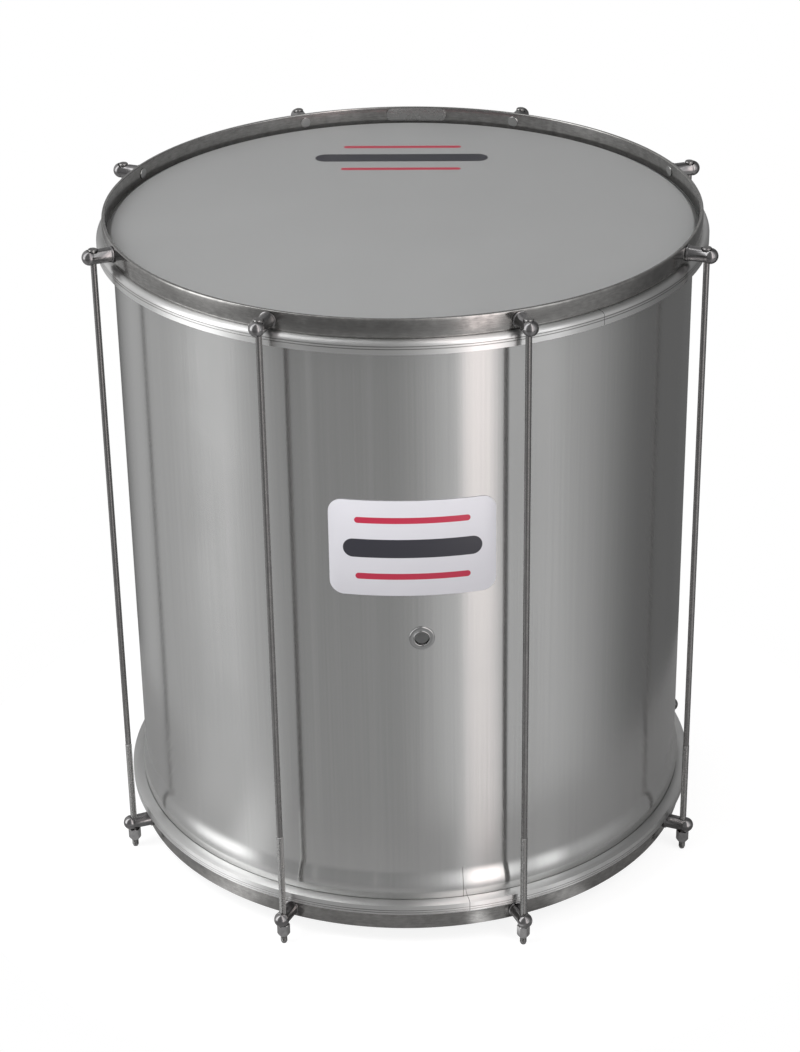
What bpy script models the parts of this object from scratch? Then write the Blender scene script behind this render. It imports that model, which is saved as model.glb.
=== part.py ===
"""A surdo: a deep aluminium drum with a film head at each end.

Z runs up the drum's axis from the floor, which the eight rod tips touch. The front of the drum,
midway between two rods, faces -Y. All sizes are in metres.

Both ends are built alike. Heights near an end are measured from the plane of its lugs: `up` is
the distance away from the drum's middle, so the head lies at a small negative `up`.
"""
from math import ceil, cos, floor, pi, radians, sin

import bmesh
import bpy
from mathutils import Matrix, Vector

# Overall layout
ROD_COUNT = 8
ROD_CIRCLE_RADIUS = 0.2785
LUG_PLANE_SPACING = 0.5683
ROD_TIP_BELOW_LUG = 0.0265
GAP = 0.0003
RING_STEPS = 56
JOINT_ANGLE = radians(178.6)

# Shell: one rolled sheet with a flared lip and a turned-in bearing edge at each end
SHELL_RADIUS = 0.2540
SHEET = 0.0012
LIP_RADIUS = 0.2560
LIP_LENGTH = 0.0225
FLARE_LENGTH = 0.0160
EDGE_BEND_RADIUS = 0.0025
EDGE_FLANGE_RADIUS = 0.2492

# Head: a film disc, and a rim whose skirt is set in the flesh hoop
FILM = 0.0004
HEAD_DROP = 0.0056
CREST_RADIUS = 0.2552
SKIRT_RADIUS = 0.2584
SKIRT_BEND_DROP = 0.0094
SKIRT_END_DROP = 0.0130

# Flesh hoop: an aluminium ring with a channel for the film's skirt
FLESH_INNER_RADIUS = 0.2570
FLESH_OUTER_RADIUS = 0.2673
FLESH_DROP = 0.00865
FLESH_HEIGHT = 0.01185
CHANNEL_DEPTH = 0.0050
CHANNEL_WALL = 0.0007

# Counterhoop: a flat steel band on edge
HOOP_OUTER_RADIUS = 0.2617
HOOP_THICKNESS = 0.0032
HOOP_HEIGHT = 0.0167
JOINT_PLATE_LENGTH = 0.0570
JOINT_PLATE_WIDTH = 0.0125
JOINT_PLATE_THICKNESS = 0.0016
JOINT_PLATE_UP = 0.0014

# Lugs: turned steel studs, riveted over inside the hoop and cross-drilled for the rod
LUG_RADIUS = 0.0064
LUG_LENGTH = 0.0270
LUG_BASE_RADIUS = 0.0073
LUG_BASE_THICKNESS = 0.0012
LUG_SHANK_RADIUS = 0.0031
LUG_SHANK_HOLE_RADIUS = 0.0035
RIVET_RADIUS = 0.0050
RIVET_THICKNESS = 0.0018
ROD_HOLE_RADIUS = 0.0034
SEAT_RADIUS = 0.0050
SEAT_UP = 0.0044
LUG_SIDES = 12

# Rods and nuts
ROD_RADIUS = 0.00265
THREAD_RADIUS = 0.0030
THREAD_TOP_ABOVE_LUG = 0.0750
ROD_HEAD_RADIUS = 0.0042
ROD_HEAD_THICKNESS = 0.0030
ROD_TIP_CHAMFER = 0.0010
ROD_SIDES = 12
NUT_ACROSS_FLATS = 0.0100
NUT_HEX_HEIGHT = 0.0088
NUT_COLLAR_HEIGHT = 0.0034
NUT_BORE_RADIUS = 0.0033

# Vent eyelet and blank label on the shell, at angles from the front toward +X
VENT_ANGLE = radians(4.4)
VENT_BORE_RADIUS = 0.0062
VENT_FLANGE_RADIUS = 0.0109
VENT_HOLE_RADIUS = 0.0076
VENT_SIDES = 16
LABEL_ANGLE = radians(2.9)
LABEL_ABOVE_MIDDLE = 0.0850
LABEL_WIDTH = 0.1400
LABEL_HEIGHT = 0.0880
LABEL_THICKNESS = 0.0004
LABEL_CORNER_RADIUS = 0.0120

# Heights worked out from the above
BOTTOM_LUG_Z = ROD_TIP_BELOW_LUG
TOP_LUG_Z = BOTTOM_LUG_Z + LUG_PLANE_SPACING
MIDDLE_Z = (BOTTOM_LUG_Z + TOP_LUG_Z) / 2
EDGE_DROP = HEAD_DROP + FILM + GAP
HOOP_INNER_RADIUS = HOOP_OUTER_RADIUS - HOOP_THICKNESS
FACET_ANGLE = 2 * pi / RING_STEPS
HOOP_FACE = HOOP_OUTER_RADIUS * cos(FACET_ANGLE / 2)
HOOP_INNER_FACE = HOOP_INNER_RADIUS * cos(FACET_ANGLE / 2)

# Colours, roughness and metallic values
ALUMINIUM = ((0.52, 0.52, 0.52), 0.34, 1.0)
BRIGHT_ALUMINIUM = ((0.62, 0.62, 0.61), 0.28, 1.0)
STEEL = ((0.24, 0.24, 0.24), 0.36, 1.0)
DARK_STEEL = ((0.20, 0.20, 0.20), 0.38, 1.0)
FILM_WHITE = ((0.42, 0.43, 0.42), 0.45, 0.0)
EYELET_STEEL = ((0.36, 0.36, 0.36), 0.30, 1.0)
LABEL_WHITE = ((0.80, 0.79, 0.82), 0.40, 0.0)


def clear_scene():
    for old in list(bpy.data.objects):
        bpy.data.objects.remove(old, do_unlink=True)


def add_collection(name):
    collection = bpy.data.collections.new(name)
    bpy.context.scene.collection.children.link(collection)
    return collection


def make_material(name, look):
    colour, roughness, metallic = look
    material = bpy.data.materials.new(name)
    material.use_nodes = True
    shader = material.node_tree.nodes["Principled BSDF"]
    shader.inputs["Base Color"].default_value = (*colour, 1.0)
    shader.inputs["Roughness"].default_value = roughness
    shader.inputs["Metallic"].default_value = metallic
    return material


def add_object(name, mesh, collection, parent=None):
    obj = bpy.data.objects.new(name, mesh)
    collection.objects.link(obj)
    obj.parent = parent
    return obj


def add_empty(name, collection, height):
    empty = add_object(name, None, collection)
    empty.empty_display_size = 0.05
    empty.location.z = height
    return empty


def outline_mesh(name, points, closed):
    """A mesh of edges only, in the XZ plane, for a Screw modifier to turn."""
    mesh = bpy.data.meshes.new(name)
    shape = bmesh.new()
    verts = [shape.verts.new((r, 0.0, z)) for r, z in points]
    for start, end in zip(verts, verts[1:]):
        shape.edges.new((start, end))
    if closed:
        shape.edges.new((verts[-1], verts[0]))
    shape.to_mesh(mesh)
    shape.free()
    return mesh


def add_turned(name, points, collection, steps, closed=False, parent=None):
    """Turn a profile about local Z. Points run down the outer side, top to bottom."""
    obj = add_object(name, outline_mesh(name, points, closed), collection, parent)
    screw = obj.modifiers.new("Turn", "SCREW")
    screw.axis = "Z"
    screw.angle = 2 * pi
    screw.steps = steps
    screw.render_steps = steps
    screw.use_merge_vertices = True
    screw.merge_threshold = 0.00001
    screw.use_normal_calculate = False
    return obj


def add_ring(name, points, collection, parent):
    """A full ring. Its corners start at the front, so the middle of a facet faces each lug."""
    return add_turned(name, points, collection, RING_STEPS, closed=True, parent=parent)


def add_cutter(name, radius, depth, cutters, sides=12):
    """A round cutter along its local Z, centred on its origin."""
    mesh = bpy.data.meshes.new(name)
    shape = bmesh.new()
    bmesh.ops.create_cone(shape, cap_ends=True, segments=sides, radius1=radius, radius2=radius, depth=depth)
    shape.to_mesh(mesh)
    shape.free()
    cutter = add_object(name, mesh, cutters)
    hide_cutter(cutter)
    return cutter


def hide_cutter(cutter):
    cutter.hide_render = True
    cutter.display_type = "WIRE"


def add_boolean(obj, other, operation):
    modifier = obj.modifiers.new(operation.title() + " " + other.name, "BOOLEAN")
    modifier.object = other
    modifier.operation = operation
    modifier.solver = "EXACT"


def bake(obj):
    """The evaluated mesh of a prototype, which is then removed so that copies can share it."""
    bpy.context.view_layer.update()
    depsgraph = bpy.context.evaluated_depsgraph_get()
    mesh = bpy.data.meshes.new_from_object(obj.evaluated_get(depsgraph))
    mesh.name = obj.name
    bpy.data.objects.remove(obj, do_unlink=True)
    return mesh


def finish(obj, look, sharp_angle=30):
    if not obj.data.materials:
        obj.data.materials.append(make_material(obj.name, look))
    obj.data.shade_smooth()
    if obj.data.polygons:
        obj.data.set_sharp_from_angle(angle=radians(sharp_angle))


def direction(angle):
    """The level direction at an angle from the front, -Y, toward +X."""
    return Vector((sin(angle), -cos(angle), 0.0))


def face_outward(obj, angle):
    """Turn local X to point straight out of the drum at an angle from the front."""
    obj.rotation_euler.z = angle - pi / 2


def lug_angles():
    return [2 * pi * (k + 0.5) / ROD_COUNT for k in range(ROD_COUNT)]


def at_end(profile, is_top):
    """Place an end's profile, whose heights are `up` from its lugs. The bottom end is mirrored."""
    if is_top:
        return profile
    return [(r, -up) for r, up in reversed(profile)]


def arc(centre_r, centre_z, radius, start, end, count):
    """Points on a circle, at angles in degrees from +r."""
    angles = [radians(start + (end - start) * k / (count - 1)) for k in range(count)]
    return [(centre_r + radius * cos(a), centre_z + radius * sin(a)) for a in angles]


def shell_end(sheet_offset):
    """One side of the shell's section at an end, from the flange to where the straight wall starts.

    Heights are measured up from the bearing edge. The offset is how far the side lies inside
    the sheet's outer face.
    """
    bend = EDGE_BEND_RADIUS - sheet_offset
    bend_centre = LIP_RADIUS - EDGE_BEND_RADIUS
    points = [(EDGE_FLANGE_RADIUS, -sheet_offset)]
    points += arc(bend_centre, -EDGE_BEND_RADIUS, bend, 90, 0, 3)
    flare_steps = 3
    for k in range(flare_steps + 1):
        blend = (1 - cos(pi * k / flare_steps)) / 2
        radius = LIP_RADIUS + (SHELL_RADIUS - LIP_RADIUS) * blend - sheet_offset
        points.append((radius, -LIP_LENGTH - FLARE_LENGTH * k / flare_steps))
    return points


def build_shell(parts, cutters):
    """The rolled sheet shell with its vent hole."""
    half_length = LUG_PLANE_SPACING / 2 - EDGE_DROP
    outer_top = [(r, z + half_length) for r, z in shell_end(0.0)]
    inner_top = [(r, z + half_length) for r, z in shell_end(SHEET)]
    outer = outer_top + [(r, -z) for r, z in reversed(outer_top)]
    inner = inner_top + [(r, -z) for r, z in reversed(inner_top)]
    shell = add_ring("shell", outer + inner[::-1], parts, None)
    shell.location.z = MIDDLE_Z
    hole = add_cutter("vent_hole_cutter", VENT_HOLE_RADIUS, 0.02, cutters, VENT_SIDES)
    place_on_vent_axis(hole)
    add_boolean(shell, hole, "DIFFERENCE")
    finish(shell, ALUMINIUM)
    return shell


def place_on_vent_axis(obj):
    """Put local Z on the vent's axis, square to the shell facet and starting at its outer face."""
    facet = FACET_ANGLE * (floor(VENT_ANGLE / FACET_ANGLE) + 0.5)
    slide = SHELL_RADIUS * sin(VENT_ANGLE - facet)
    flat = SHELL_RADIUS * cos(FACET_ANGLE / 2)
    along = direction(facet + pi / 2)
    obj.location = direction(facet) * flat + along * slide + Vector((0, 0, MIDDLE_Z))
    obj.rotation_euler = direction(facet).to_track_quat("Z", "Y").to_euler()


def build_vent(parts):
    """A rolled eyelet: an outer flange, a tube through the sheet and an inner flange."""
    inside = -SHEET - 0.0004
    profile = [
        (VENT_BORE_RADIUS, 0.0013),
        (0.0069, 0.0019),
        (0.0086, 0.0016),
        (VENT_FLANGE_RADIUS, 0.0008),
        (VENT_FLANGE_RADIUS, GAP),
        (0.0072, GAP),
        (0.0072, inside),
        (0.0093, inside),
        (0.0093, inside - 0.0008),
        (0.0067, inside - 0.0011),
        (VENT_BORE_RADIUS, inside - 0.0007),
    ]
    vent = add_turned("vent_eyelet", profile, parts, VENT_SIDES, closed=True)
    place_on_vent_axis(vent)
    finish(vent, EYELET_STEEL)
    return vent


def rounded_plate_cutter(name, width, height, corner, inner_radius, angle, cutters):
    """A block with rounded corners that crosses the wall at an angle from the front."""
    depth = 0.03
    mesh = bpy.data.meshes.new(name)
    shape = bmesh.new()
    size = Matrix.Diagonal((depth, width, height, 1.0))
    bmesh.ops.create_cube(shape, size=1.0, matrix=size)
    along_x = [edge for edge in shape.edges if abs(edge.verts[0].co.x - edge.verts[1].co.x) > depth / 2]
    bmesh.ops.bevel(shape, geom=along_x, offset=corner, segments=4, affect="EDGES", profile=0.5)
    shape.to_mesh(mesh)
    shape.free()
    cutter = add_object(name, mesh, cutters)
    cutter.location = direction(angle) * inner_radius
    face_outward(cutter, angle)
    hide_cutter(cutter)
    return cutter


def add_wrapped_plate(name, inner_radius, thickness, angle, width, height, corner, parts, cutters, parent=None):
    """A thin plate that follows the ring facets, cut to a rounded outline."""
    half_turn = width / 2 / inner_radius
    first = floor((angle - half_turn) / FACET_ANGLE)
    facets = ceil((angle + half_turn) / FACET_ANGLE) - first
    outer_radius = inner_radius + thickness
    section = [
        (outer_radius, height),
        (outer_radius, -height),
        (inner_radius, -height),
        (inner_radius, height),
    ]
    mesh = bpy.data.meshes.new(name)
    shape = bmesh.new()
    loop = [shape.verts.new((r, 0.0, z)) for r, z in section]
    face = shape.faces.new(loop)
    bmesh.ops.spin(shape, geom=[face, *face.edges, *face.verts], cent=(0, 0, 0), axis=(0, 0, 1),
                   angle=facets * FACET_ANGLE, steps=facets, use_duplicate=False)
    bmesh.ops.recalc_face_normals(shape, faces=shape.faces)
    shape.transform(Matrix.Rotation(first * FACET_ANGLE - pi / 2, 4, "Z"))
    shape.to_mesh(mesh)
    shape.free()
    plate = add_object(name, mesh, parts, parent)
    outline = rounded_plate_cutter(name + "_outline", width, height, corner, inner_radius, angle, cutters)
    return plate, outline


def build_label(parts, cutters):
    """A plain label with rounded corners, stuck on the shell above the vent."""
    label, outline = add_wrapped_plate(
        "blank_label", SHELL_RADIUS + GAP, LABEL_THICKNESS, LABEL_ANGLE,
        LABEL_WIDTH, LABEL_HEIGHT, LABEL_CORNER_RADIUS, parts, cutters)
    label.location.z = MIDDLE_Z + LABEL_ABOVE_MIDDLE
    outline.location.z = label.location.z
    add_boolean(label, outline, "INTERSECT")
    finish(label, LABEL_WHITE)
    return label


def build_head(prefix, is_top, parts, parent):
    """The film, in two solids: the flat disc, and its rim, which slopes into the flesh hoop."""
    bend_start = LIP_RADIUS - EDGE_BEND_RADIUS
    disc = [
        (0.0, -HEAD_DROP),
        (bend_start - GAP, -HEAD_DROP),
        (bend_start - GAP, -HEAD_DROP - FILM),
        (0.0, -HEAD_DROP - FILM),
    ]
    rim = [
        (bend_start, -HEAD_DROP),
        (CREST_RADIUS, -HEAD_DROP - 0.0002),
        (SKIRT_RADIUS, -SKIRT_BEND_DROP),
        (SKIRT_RADIUS, -SKIRT_END_DROP),
        (SKIRT_RADIUS - FILM, -SKIRT_END_DROP),
        (SKIRT_RADIUS - FILM, -SKIRT_BEND_DROP - FILM / 2),
        (CREST_RADIUS - FILM / 2, -HEAD_DROP - FILM - 0.0002),
        (bend_start, -HEAD_DROP - FILM),
    ]
    head = add_turned(prefix + "_head", at_end(disc, is_top), parts, RING_STEPS, parent=parent)
    head_rim = add_ring(prefix + "_head_rim", at_end(rim, is_top), parts, parent)
    finish(head, FILM_WHITE)
    finish(head_rim, FILM_WHITE)


def build_flesh_hoop(prefix, is_top, parts, parent):
    """The ring that holds the film, with rounded shoulders and an open channel."""
    top = -FLESH_DROP
    bottom = -FLESH_DROP - FLESH_HEIGHT
    channel_inner = FLESH_INNER_RADIUS + CHANNEL_WALL
    channel_outer = SKIRT_RADIUS + GAP
    channel_floor = top - CHANNEL_DEPTH
    wall_top = top - 0.00125
    section = [
        (channel_outer, top),
        (FLESH_OUTER_RADIUS - 0.0047, top),
        (FLESH_OUTER_RADIUS - 0.0015, top - 0.0011),
        (FLESH_OUTER_RADIUS, top - 0.0042),
        (FLESH_OUTER_RADIUS, bottom + 0.0009),
        (FLESH_OUTER_RADIUS - 0.0008, bottom),
        (FLESH_INNER_RADIUS, bottom),
        (FLESH_INNER_RADIUS, wall_top),
        (channel_inner, wall_top),
        (channel_inner, channel_floor),
        (channel_outer, channel_floor),
    ]
    hoop = add_ring(prefix + "_flesh_hoop", at_end(section, is_top), parts, parent)
    finish(hoop, BRIGHT_ALUMINIUM)


def build_counterhoop(prefix, parts, cutters, parent):
    """The steel band, drilled for the eight lug shanks."""
    half = HOOP_HEIGHT / 2
    section = [
        (HOOP_OUTER_RADIUS, half),
        (HOOP_OUTER_RADIUS, -half),
        (HOOP_INNER_RADIUS, -half),
        (HOOP_INNER_RADIUS, half),
    ]
    hoop = add_ring(prefix + "_counterhoop", section, parts, parent)
    for number in range(ROD_COUNT // 2):
        angle = lug_angles()[number]
        length = 2 * HOOP_OUTER_RADIUS + 0.02
        drill = add_cutter(f"{prefix}_drill_{number + 1}", LUG_SHANK_HOLE_RADIUS, length, cutters)
        drill.location.z = parent.location.z
        drill.rotation_euler = direction(angle).to_track_quat("Z", "Y").to_euler()
        add_boolean(hoop, drill, "DIFFERENCE")
    finish(hoop, STEEL)


def build_joint_plate(prefix, is_top, parts, cutters, parent):
    """The round-ended plate inside the counterhoop that backs its welded joint."""
    outer_radius = HOOP_INNER_RADIUS - GAP
    plate, outline = add_wrapped_plate(
        prefix + "_joint_plate", outer_radius - JOINT_PLATE_THICKNESS, JOINT_PLATE_THICKNESS, JOINT_ANGLE,
        JOINT_PLATE_LENGTH, JOINT_PLATE_WIDTH, JOINT_PLATE_WIDTH * 0.45, parts, cutters, parent)
    plate.location.z = JOINT_PLATE_UP if is_top else -JOINT_PLATE_UP
    outline.location.z = parent.location.z + plate.location.z
    add_boolean(plate, outline, "INTERSECT")
    finish(plate, STEEL)


def lug_profile():
    """Radius and distance out from the hoop's outer face, from the domed end inward."""
    inside = HOOP_INNER_FACE - HOOP_FACE - GAP
    return [
        (0.0, LUG_LENGTH),
        (0.0038, LUG_LENGTH - 0.0008),
        (LUG_RADIUS, LUG_LENGTH - 0.0038),
        (LUG_RADIUS, GAP + LUG_BASE_THICKNESS),
        (LUG_BASE_RADIUS, GAP + LUG_BASE_THICKNESS),
        (LUG_BASE_RADIUS, GAP),
        (LUG_SHANK_RADIUS, GAP),
        (LUG_SHANK_RADIUS, inside),
        (RIVET_RADIUS, inside),
        (RIVET_RADIUS - 0.0010, inside - RIVET_THICKNESS),
        (0.0, inside - RIVET_THICKNESS),
    ]


def lug_mesh(name, has_seat, cutters):
    """A lug along +X with its rod hole along Z, and a round seat for the rod's head if asked."""
    lug = add_turned(name, lug_profile(), cutters, LUG_SIDES)
    lug.rotation_euler.y = pi / 2
    rod_distance = ROD_CIRCLE_RADIUS - HOOP_FACE
    hole = add_cutter(name + "_rod_hole", ROD_HOLE_RADIUS, 0.04, cutters, ROD_SIDES)
    hole.location.x = rod_distance
    add_boolean(lug, hole, "DIFFERENCE")
    if has_seat:
        depth = 0.01
        seat = add_cutter(name + "_seat", SEAT_RADIUS, depth, cutters, 16)
        seat.location = (rod_distance, 0, SEAT_UP + depth / 2)
        add_boolean(lug, seat, "DIFFERENCE")
    mesh = bake(lug)
    mesh.transform(Matrix.Rotation(pi / 2, 4, "Y"))
    return mesh


def build_lugs(prefix, mesh, parts, parent):
    for number, angle in enumerate(lug_angles(), start=1):
        lug = add_object(f"{prefix}_lug_{number}", mesh, parts, parent)
        lug.location = direction(angle) * HOOP_FACE
        face_outward(lug, angle)
        finish(lug, DARK_STEEL, 40)


def rod_mesh(cutters):
    """A rod on its own axis, measured up from its tip."""
    head_top = LUG_PLANE_SPACING + ROD_TIP_BELOW_LUG + SEAT_UP + GAP + ROD_HEAD_THICKNESS
    head_under = head_top - ROD_HEAD_THICKNESS
    thread_top = ROD_TIP_BELOW_LUG + THREAD_TOP_ABOVE_LUG
    profile = [
        (0.0, head_top),
        (ROD_HEAD_RADIUS, head_top),
        (ROD_HEAD_RADIUS, head_under),
        (ROD_RADIUS, head_under),
        (ROD_RADIUS, thread_top),
        (THREAD_RADIUS, thread_top - 0.0010),
        (THREAD_RADIUS, ROD_TIP_CHAMFER),
        (THREAD_RADIUS - 0.0008, 0.0),
        (0.0, 0.0),
    ]
    return bake(add_turned("tension_rod", profile, cutters, ROD_SIDES))


def build_rods(parts, cutters, parent):
    """Eight rods. Each hangs by its head from a top lug and passes through the bottom one."""
    mesh = rod_mesh(cutters)
    for number, angle in enumerate(lug_angles(), start=1):
        rod = add_object(f"tension_rod_{number}", mesh, parts, parent)
        rod.location = direction(angle) * ROD_CIRCLE_RADIUS - Vector((0, 0, parent.location.z))
        finish(rod, DARK_STEEL, 40)


def nut_mesh(cutters):
    """A hexagon nut with a tapered collar below, its top face at the origin."""
    hexagon = bpy.data.meshes.new("tension_nut")
    shape = bmesh.new()
    corner_radius = NUT_ACROSS_FLATS / 2 / cos(pi / 6)
    bmesh.ops.create_cone(shape, cap_ends=True, segments=6, radius1=corner_radius, radius2=corner_radius,
                          depth=NUT_HEX_HEIGHT, matrix=Matrix.Translation((0, 0, -NUT_HEX_HEIGHT / 2)))
    top_edges = [edge for edge in shape.edges if all(vert.co.z > -0.0001 for vert in edge.verts)]
    bmesh.ops.bevel(shape, geom=top_edges, offset=0.0005, segments=1, affect="EDGES", profile=0.5)
    shape.to_mesh(hexagon)
    shape.free()
    nut = add_object("tension_nut", hexagon, cutters)

    collar_mesh = bpy.data.meshes.new("nut_collar")
    overlap = 0.0005
    height = NUT_COLLAR_HEIGHT + overlap
    shape = bmesh.new()
    centre = -NUT_HEX_HEIGHT + overlap - height / 2
    bmesh.ops.create_cone(shape, cap_ends=True, segments=12, radius1=0.0040, radius2=0.0048,
                          depth=height, matrix=Matrix.Translation((0, 0, centre)))
    shape.to_mesh(collar_mesh)
    shape.free()
    collar = add_object("nut_collar", collar_mesh, cutters)
    hide_cutter(collar)
    bore = add_cutter("nut_bore", NUT_BORE_RADIUS, 0.05, cutters, ROD_SIDES)
    add_boolean(nut, collar, "UNION")
    add_boolean(nut, bore, "DIFFERENCE")
    return bake(nut)


def build_nuts(parts, cutters, parent):
    """Eight nuts below the bottom lugs. Each turns about its rod's axis, where its origin lies."""
    mesh = nut_mesh(cutters)
    for number, angle in enumerate(lug_angles(), start=1):
        nut = add_object(f"tension_nut_{number}", mesh, parts, parent)
        nut.location = direction(angle) * ROD_CIRCLE_RADIUS
        nut.location.z = -LUG_RADIUS - GAP
        nut.rotation_euler.z = angle + radians(11) * number
        finish(nut, DARK_STEEL, 40)


def build_end(prefix, is_top, height, parts, cutters):
    """Everything that slides together at one end of the drum."""
    ring = add_empty(prefix + "_ring", parts, height)
    build_head(prefix, is_top, parts, ring)
    build_flesh_hoop(prefix, is_top, parts, ring)
    build_counterhoop(prefix, parts, cutters, ring)
    build_joint_plate(prefix, is_top, parts, cutters, ring)
    build_lugs(prefix, lug_mesh(prefix + "_lug", is_top, cutters), parts, ring)
    return ring


clear_scene()
surdo = add_collection("surdo")
cutter_shapes = add_collection("cutters")
build_shell(surdo, cutter_shapes)
build_vent(surdo)
build_label(surdo, cutter_shapes)
top_ring = build_end("top", True, TOP_LUG_Z, surdo, cutter_shapes)
bottom_ring = build_end("bottom", False, BOTTOM_LUG_Z, surdo, cutter_shapes)
build_rods(surdo, cutter_shapes, top_ring)
build_nuts(surdo, cutter_shapes, bottom_ring)
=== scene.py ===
from math import cos, pi, radians, sin

import bmesh
import bpy
from mathutils import Matrix, Vector


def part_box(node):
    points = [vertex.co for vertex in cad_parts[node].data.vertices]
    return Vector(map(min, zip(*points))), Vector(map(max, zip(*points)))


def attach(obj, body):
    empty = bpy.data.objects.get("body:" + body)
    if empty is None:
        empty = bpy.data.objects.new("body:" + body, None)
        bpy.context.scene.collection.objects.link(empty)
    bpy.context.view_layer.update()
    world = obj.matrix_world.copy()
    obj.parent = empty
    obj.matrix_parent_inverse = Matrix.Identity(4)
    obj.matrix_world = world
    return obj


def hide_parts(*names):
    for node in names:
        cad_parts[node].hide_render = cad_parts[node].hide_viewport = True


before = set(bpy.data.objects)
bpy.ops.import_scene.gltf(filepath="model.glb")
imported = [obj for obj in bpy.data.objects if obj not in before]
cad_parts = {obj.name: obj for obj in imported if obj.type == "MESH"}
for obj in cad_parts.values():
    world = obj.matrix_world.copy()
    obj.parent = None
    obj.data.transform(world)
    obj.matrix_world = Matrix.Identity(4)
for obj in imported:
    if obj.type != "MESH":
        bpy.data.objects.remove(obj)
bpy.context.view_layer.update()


# Shell: one sheet of aluminium rolled into a tube, satin finished along its height. Each end
# is rolled out into a shallow lip and turned in again to make the edge that the head bears on.
SHELL_RADIUS = 0.2540
SHEET = 0.0012
LIP_RADIUS = 0.2568
CREST_RADII = {"top": 0.2568, "bottom": 0.2577}
CREST_HEIGHTS = {"top": 0.0120, "bottom": 0.0205}
FLARE_LENGTHS = {"top": 0.0075, "bottom": 0.0230}
EDGE_BEND_RADIUS = 0.0025
EDGE_FLANGE_RADIUS = 0.2492
SHELL_SEAM_ANGLE = radians(12.0)
VENT_ANGLE = radians(4.4)
VENT_HOLE_RADIUS = 0.0076
ROUND_STEPS = 288
shell_low, shell_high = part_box("shell")
MIDDLE_Z = (shell_low.z + shell_high.z) / 2
SHELL_HALF_HEIGHT = (shell_high.z - shell_low.z) / 2


def arc(centre_r, centre_z, radius, start, end, steps):
    """Points of an arc in a section, at angles in degrees from straight out."""
    angles = [radians(start + (end - start) * k / steps) for k in range(steps + 1)]
    return [(centre_r + radius * cos(a), centre_z + radius * sin(a)) for a in angles]


def turn(section, steps=ROUND_STEPS, corner=0.0):
    """Spin a closed section of (radius, height) points round Z, with its corners eased first."""
    shape = bmesh.new()
    corners = [shape.verts.new((r, 0, z)) for r, z in section]
    face = shape.faces.new(corners)
    if corner:
        bmesh.ops.bevel(shape, geom=corners, offset=corner, offset_type="OFFSET", segments=3,
                        profile=0.5, affect="VERTICES", material=-1)
    bmesh.ops.delete(shape, geom=shape.faces[:], context="FACES_ONLY")
    bmesh.ops.spin(shape, geom=shape.verts[:] + shape.edges[:], cent=(0, 0, 0), axis=(0, 0, 1),
                   angle=2 * pi, steps=steps, use_merge=True)
    bmesh.ops.remove_doubles(shape, verts=shape.verts, dist=0.000001)
    bmesh.ops.recalc_face_normals(shape, faces=shape.faces)
    return shape


def mesh_from(name, shape):
    mesh = bpy.data.meshes.new(name)
    shape.to_mesh(mesh)
    shape.free()
    return mesh


def link_object(name, mesh):
    piece = bpy.data.objects.new(name, mesh)
    bpy.context.scene.collection.objects.link(piece)
    return piece


def cut(mesh, *steps):
    """A mesh after Boolean steps, each an operation and the shape that it is done with."""
    blank = link_object("blank", mesh)
    tools = []
    for operation, shape in steps:
        tool = link_object("tool", mesh_from("tool", shape))
        modifier = blank.modifiers.new("cut", "BOOLEAN")
        modifier.object = tool
        modifier.operation = operation
        modifier.solver = "EXACT"
        tools.append(tool)
    bpy.context.view_layer.update()
    evaluated = blank.evaluated_get(bpy.context.evaluated_depsgraph_get())
    result = bpy.data.meshes.new_from_object(evaluated)
    for used in [blank, *tools]:
        bpy.data.objects.remove(used, do_unlink=True)
    return result


def fit_piece(node, mesh, material, body, sharp=30, also=()):
    """Put a finished mesh in the place of a CAD node, and of any others named, on its body."""
    mesh.name = node + "_piece"
    mesh.shade_smooth()
    mesh.set_sharp_from_angle(angle=radians(sharp))
    mesh.materials.clear()
    mesh.materials.append(material)
    piece = link_object(node + "_piece", mesh)
    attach(piece, body)
    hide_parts(node, *also)
    return piece


def direction(angle):
    """The level direction at an angle from the front toward the right."""
    return Vector((sin(angle), -cos(angle), 0))


def frame_toward(angle, origin):
    """A place whose local Z points straight out of the drum at an angle from the front."""
    turned = direction(angle).to_track_quat("Z", "Y").to_matrix().to_4x4()
    return Matrix.Translation(origin) @ turned


def add_node(tree, kind, inputs=(), **settings):
    """A shader node. Each input is a value or the socket that feeds it."""
    made = tree.nodes.new(kind)
    for key, value in settings.items():
        setattr(made, key, value)
    for key, value in dict(inputs).items():
        if isinstance(value, bpy.types.NodeSocket):
            tree.links.new(value, made.inputs[key])
        else:
            made.inputs[key].default_value = value
    return made


def maths(tree, operation, *values):
    return add_node(tree, "ShaderNodeMath", dict(enumerate(values)), operation=operation).outputs[0]


def spread(tree, value, low, high, to_low=0.0, to_high=1.0, smooth=False):
    """Map a value from one range to another, kept inside it."""
    kind = "SMOOTHSTEP" if smooth else "LINEAR"
    ranges = {"Value": value, "From Min": low, "From Max": high, "To Min": to_low, "To Max": to_high}
    return add_node(tree, "ShaderNodeMapRange", ranges, interpolation_type=kind).outputs["Result"]


def new_group(name, inputs, outputs):
    """A shader node group with its sockets, each a name and a kind."""
    group = bpy.data.node_groups.new(name, "ShaderNodeTree")
    for in_out, sockets in (("INPUT", inputs), ("OUTPUT", outputs)):
        for socket, kind in sockets.items():
            group.interface.new_socket(socket, in_out=in_out, socket_type="NodeSocket" + kind)
    entry = group.nodes.new("NodeGroupInput").outputs
    leave = group.nodes.new("NodeGroupOutput").inputs
    return group, entry, leave


def use_group(tree, group, inputs):
    return add_node(tree, "ShaderNodeGroup", inputs, node_tree=group)


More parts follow.
